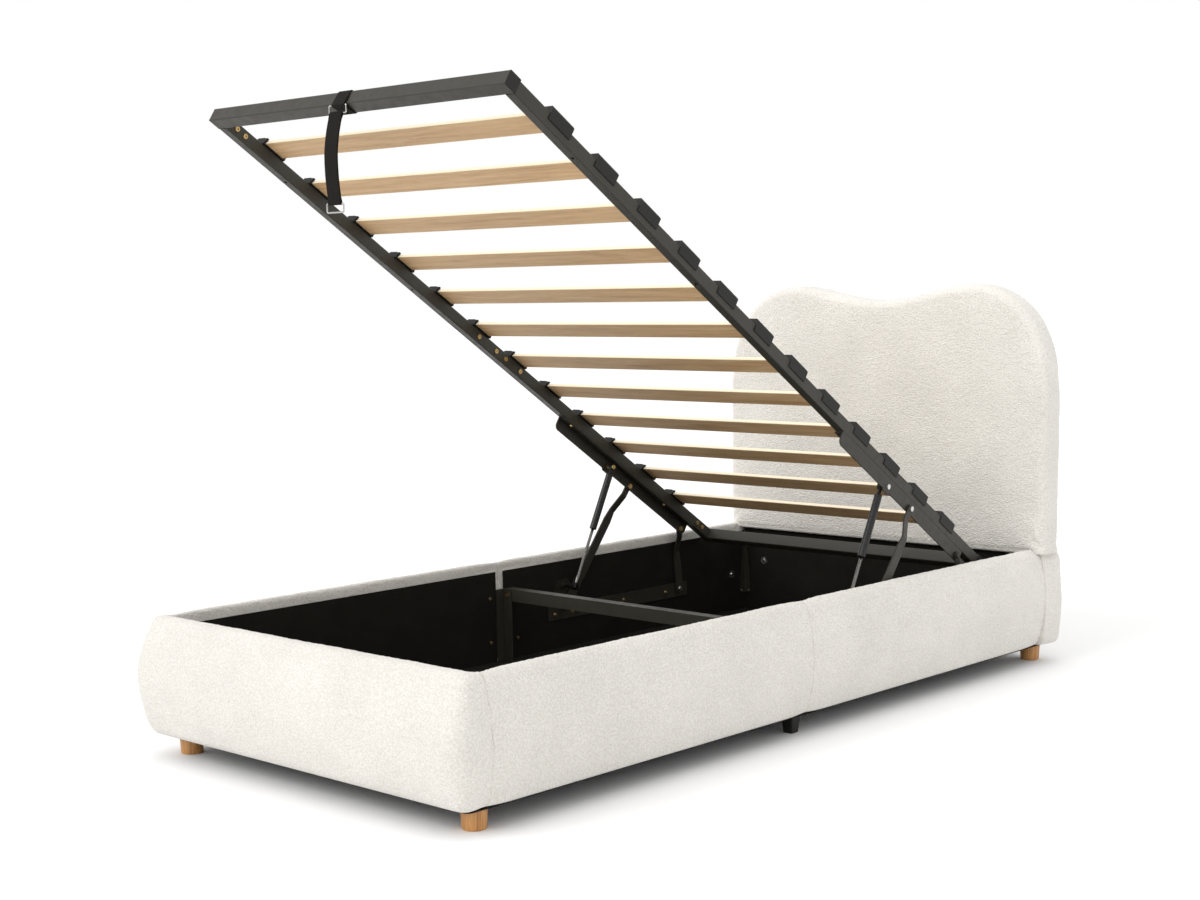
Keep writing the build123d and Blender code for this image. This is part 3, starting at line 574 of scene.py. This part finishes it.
# Linings: thin black cloth stretched over the inside of each panel
def lining_sheet(name, node, corner, across, up, inwards, seed):
    across, up, inwards, corner = Vector(across), Vector(up), Vector(inwards), Vector(corner)
    columns = max(2, round(across.length / LINING_CELL))
    rows = max(2, round(up.length / LINING_CELL))
    points = []
    for j in range(rows + 1):
        for i in range(columns + 1):
            u, v = i / columns, j / rows
            rim = min(1.0, 12 * min(u, 1 - u) * across.length, 12 * min(v, 1 - v) * up.length)
            ripple = 0.5 + 0.5 * math.sin(31 * u * across.length + 3 * math.sin(9 * v + seed) + seed)
            sag = LINING_RIPPLE * rim * ripple * (0.4 + 0.6 * v)
            points.append(corner + across * u + up * v + inwards * (LINING_GAP + sag))
    faces = []
    for j in range(rows):
        for i in range(columns):
            first = j * (columns + 1) + i
            above = first + columns + 1
            faces.append((first, first + 1, above + 1, above))
    mesh = bpy.data.meshes.new(name)
    mesh.from_pydata(points, [], faces)
    mesh.polygons.foreach_set("use_smooth", [True] * len(mesh.polygons))
    piece = new_object(name, mesh)
    finish_piece(piece, "lining", "box", node)


lining_end = HEAD_Y - 0.001
for node, y, inwards in (("lining_foot", -lining_end, 1), ("lining_head", lining_end, -1)):
    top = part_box(node)[1].z
    lining_sheet(
        node + "_cloth",
        node,
        corner=(-lining_width, y, PANEL_BOTTOM),
        across=(2 * lining_width, 0, 0),
        up=(0, 0, top - PANEL_BOTTOM),
        inwards=(0, inwards, 0),
        seed=1.0,
    )
halves = (("foot", -lining_end, MID_Y - gap_half), ("head", MID_Y + gap_half, lining_end))
for side, sign in (("right", 1), ("left", -1)):
    for half, y_from, y_to in halves:
        lining_sheet(
            "lining_%s_%s_cloth" % (side, half),
            "lining_" + side,
            corner=(sign * lining_width, y_from, PANEL_BOTTOM),
            across=(0, y_to - y_from, 0),
            up=(0, 0, lining_top - PANEL_BOTTOM),
            inwards=(-sign, 0, 0),
            seed=2.0 + sign,
        )


# Webbing: a band with rounded edges that follows a closed path
def webbing_band(name, path, width, thickness):
    path = [Vector(p) for p in path]
    count = len(path)
    across_steps = [-1, -0.985, -0.93, -0.6, -0.2, 0.2, 0.6, 0.93, 0.985, 1]
    lengths = [0.0]
    for i in range(count):
        lengths.append(lengths[-1] + (path[(i + 1) % count] - path[i]).length)
    points, faces, marks = [], [], []
    for i, point in enumerate(path):
        along = (path[(i + 1) % count] - path[i - 1]).normalized()
        outwards = along.cross(Vector((1, 0, 0))).normalized()
        for level in (0.5, -0.5):
            for step in across_steps if level > 0 else reversed(across_steps):
                thin = thickness * level * (1.0 if abs(step) < 0.95 else 0.55 if abs(step) < 0.99 else 0.15)
                points.append(point + Vector((step * width / 2, 0, 0)) + outwards * thin)
                marks.append((lengths[i], step * width / 2))
    ring = 2 * len(across_steps)
    corners = []
    for i in range(count):
        for k in range(ring):
            a, b = i * ring + k, i * ring + (k + 1) % ring
            c, d = ((i + 1) % count) * ring + (k + 1) % ring, ((i + 1) % count) * ring + k
            faces.append((a, b, c, d))
            end = lengths[i + 1]
            corners += [marks[a], marks[b], (end, marks[c][1]), (end, marks[d][1])]
    mesh = bpy.data.meshes.new(name)
    mesh.from_pydata(points, [], faces)
    layer = mesh.uv_layers.new(name="along")
    for loop, mark in zip(layer.data, corners):
        loop.uv = mark
    mesh.polygons.foreach_set("use_smooth", [True] * len(mesh.polygons))
    return new_object(name, mesh), lengths[-1]


def arc(centre, radius, start, end, steps):
    # points on a circle, with the angles in degrees
    return [
        (centre[0] + radius * math.cos(math.radians(a)), centre[1] + radius * math.sin(math.radians(a)))
        for a in (start + (end - start) * i / steps for i in range(steps + 1))
    ]


wire_s, wire_h = FRAME_LENGTH + 0.0008, -0.0026
reach = STRAP_THICK / 2 + 0.0002
tube_low, tube_high = FRAME_LENGTH - END_TUBE, FRAME_LENGTH
loop_x, tail_top_x, tail_low_x = -0.014, -0.021, -0.0345
corner = TUBE_ROUND + reach
loop_outline = (
    arc((wire_s, wire_h), WIRE_RADIUS + reach, -120, 10, 6)
    + arc((tube_high - TUBE_ROUND, END_TUBE - TUBE_ROUND), corner, 0, 90, 5)
    + arc((tube_low + TUBE_ROUND, END_TUBE - TUBE_ROUND), corner, 90, 180, 5)
    + arc((tube_low + TUBE_ROUND, TUBE_ROUND), corner, 180, 265, 5)
)


def between(outline, step):
    # the same closed outline with points no further apart than step
    filled = []
    for a, b in zip(outline, outline[1:] + outline[:1]):
        parts = max(1, math.ceil(math.dist(a, b) / step))
        filled += [tuple(x + (y - x) * i / parts for x, y in zip(a, b)) for i in range(parts)]
    return filled


loop_path = [(loop_x, *frame_point(s, h)) for s, h in between(loop_outline, 0.004)]
strap_loop, loop_length = webbing_band("strap_loop_webbing", loop_path, STRAP_WIDTH, STRAP_THICK)
finish_piece(strap_loop, "webbing", "slat_frame", "strap_loop")

wire_y, wire_z = frame_point(wire_s, wire_h)
tail_top = wire_z - 0.015
tail_low = tail_top - TAIL_LENGTH
turn_radius = WIRE_RADIUS + reach


def tail_place(share):
    # how far the hanging tail drifts sideways and bows forwards at a share of its length
    drift = np.interp(share, (0, 0.2, 0.45, 0.75, 1), (0.0, 0.32, 0.72, 0.95, 1.0))
    bow = -TAIL_BOW * math.sin(math.pi * share ** 0.8)
    return tail_top_x + drift * (tail_low_x - tail_top_x), bow


def tail_path():
    # down in front and up behind, with a turn round the wire at each end
    path = []
    steps = 40
    half_apart = STRAP_THICK / 2 + 0.0001
    for direction in (1, -1):
        for i in range(1, steps):
            share = i / steps if direction > 0 else 1 - i / steps
            x, bow = tail_place(share)
            nip = min(1.0, 14 * min(share, 1 - share))
            apart = -direction * (turn_radius + (half_apart - turn_radius) * nip)
            path.append((x, wire_y + bow + apart, tail_top - share * (tail_top - tail_low)))
        x = tail_low_x if direction > 0 else tail_top_x
        z = tail_low if direction > 0 else tail_top
        start = 180 if direction > 0 else 0
        path += [(x, wire_y + dy, z + dz) for dy, dz in arc((0, 0), turn_radius, start, start + 180, 8)]
    return path


strap_tail, tail_length = webbing_band("strap_tail_webbing", tail_path(), STRAP_WIDTH, STRAP_THICK)
finish_piece(strap_tail, "webbing", "strap_tail", "strap_tail")


# Gas strut rods: the polished shaft between the cylinder's bore and the eye at its lower end
def turned_piece(name, profile, start, direction, segments=28):
    # profile is (distance along the axis, radius)
    axis = Vector(direction).normalized()
    side = axis.cross(Vector((1, 0, 0))).normalized()
    other = axis.cross(side)
    points = []
    for distance, radius in profile:
        for k in range(segments):
            angle = 2 * math.pi * k / segments
            spoke = math.cos(angle) * side + math.sin(angle) * other
            points.append(Vector(start) + axis * distance + radius * spoke)
    faces = [tuple(range(segments)), tuple(reversed(range(len(points) - segments, len(points))))]
    for ring in range(len(profile) - 1):
        for k in range(segments):
            a, b = ring * segments + k, ring * segments + (k + 1) % segments
            faces.append((a, a + segments, b + segments, b))
    mesh = bpy.data.meshes.new(name)
    mesh.from_pydata(points, [], faces)
    mesh.polygons.foreach_set("use_smooth", [len(face) == 4 for face in faces])
    return new_object(name, mesh)


strut_top = Vector(frame_point(*STRUT_PIN))
strut_length = (STRUT_BASE - strut_top).length
rod_profile = [
    (BORE_MOUTH, 0.0030),
    (BORE_MOUTH + 0.001, ROD_RADIUS),
    (strut_length - 0.030, ROD_RADIUS),
    (strut_length - 0.0295, 0.0046),
    (strut_length - 0.028, ROD_NECK_RADIUS),
    (strut_length - 0.012, ROD_NECK_RADIUS),
    (strut_length - 0.008, 0.0044),
]
for side, sign in (("right", 1), ("left", -1)):
    start = (sign * STRUT_X, *strut_top)
    direction = (0, *(STRUT_BASE - strut_top))
    shaft = turned_piece("strut_shaft_" + side, rod_profile, start, direction)
    shaft.data.materials.append(rod_painted_reflection)
    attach(shaft, "strut_rod_" + side)

# Floor and light: a pale floor, a low soft sun, a wide light above, and an even white surround
FLOOR_REACH = 40
floor_mesh = bpy.data.meshes.new("floor")
floor_corners = [(x * FLOOR_REACH, y * FLOOR_REACH, 0) for x, y in ((-1, -1), (1, -1), (1, 1), (-1, 1))]
floor_mesh.from_pydata(floor_corners, [], [(0, 1, 2, 3)])
floor = new_object("floor", floor_mesh)
floor_material = new_material("floor", (0.93, 0.93, 0.93), 0.9)[0]
floor.data.materials.append(floor_material)

sun = bpy.data.objects.new("sun", bpy.data.lights.new("sun", "SUN"))
sun.data.energy = 1.15
sun.data.angle = math.radians(35)
sun.rotation_euler = Vector((0.25, 0.80, -0.62)).to_track_quat("-Z", "Y").to_euler()
scene.collection.objects.link(sun)

top_place, top_target = Vector((0.3, -0.2, 3.6)), Vector((0, 0.2, 0.3))
top_light = bpy.data.objects.new("top", bpy.data.lights.new("top", "AREA"))
top_light.data.shape = "RECTANGLE"
top_light.data.size = 3.0
top_light.data.size_y = 4.0
top_light.data.energy = 25
top_light.location = top_place
top_light.rotation_euler = (top_target - top_place).to_track_quat("-Z", "Y").to_euler()
scene.collection.objects.link(top_light)

world = bpy.data.worlds.new("studio")
scene.world = world
world.use_nodes = True
world.node_tree.nodes["Background"].inputs["Color"].default_value = (1, 1, 1, 1)
world.node_tree.nodes["Background"].inputs["Strength"].default_value = 1.0
scene.view_settings.view_transform = "Standard"
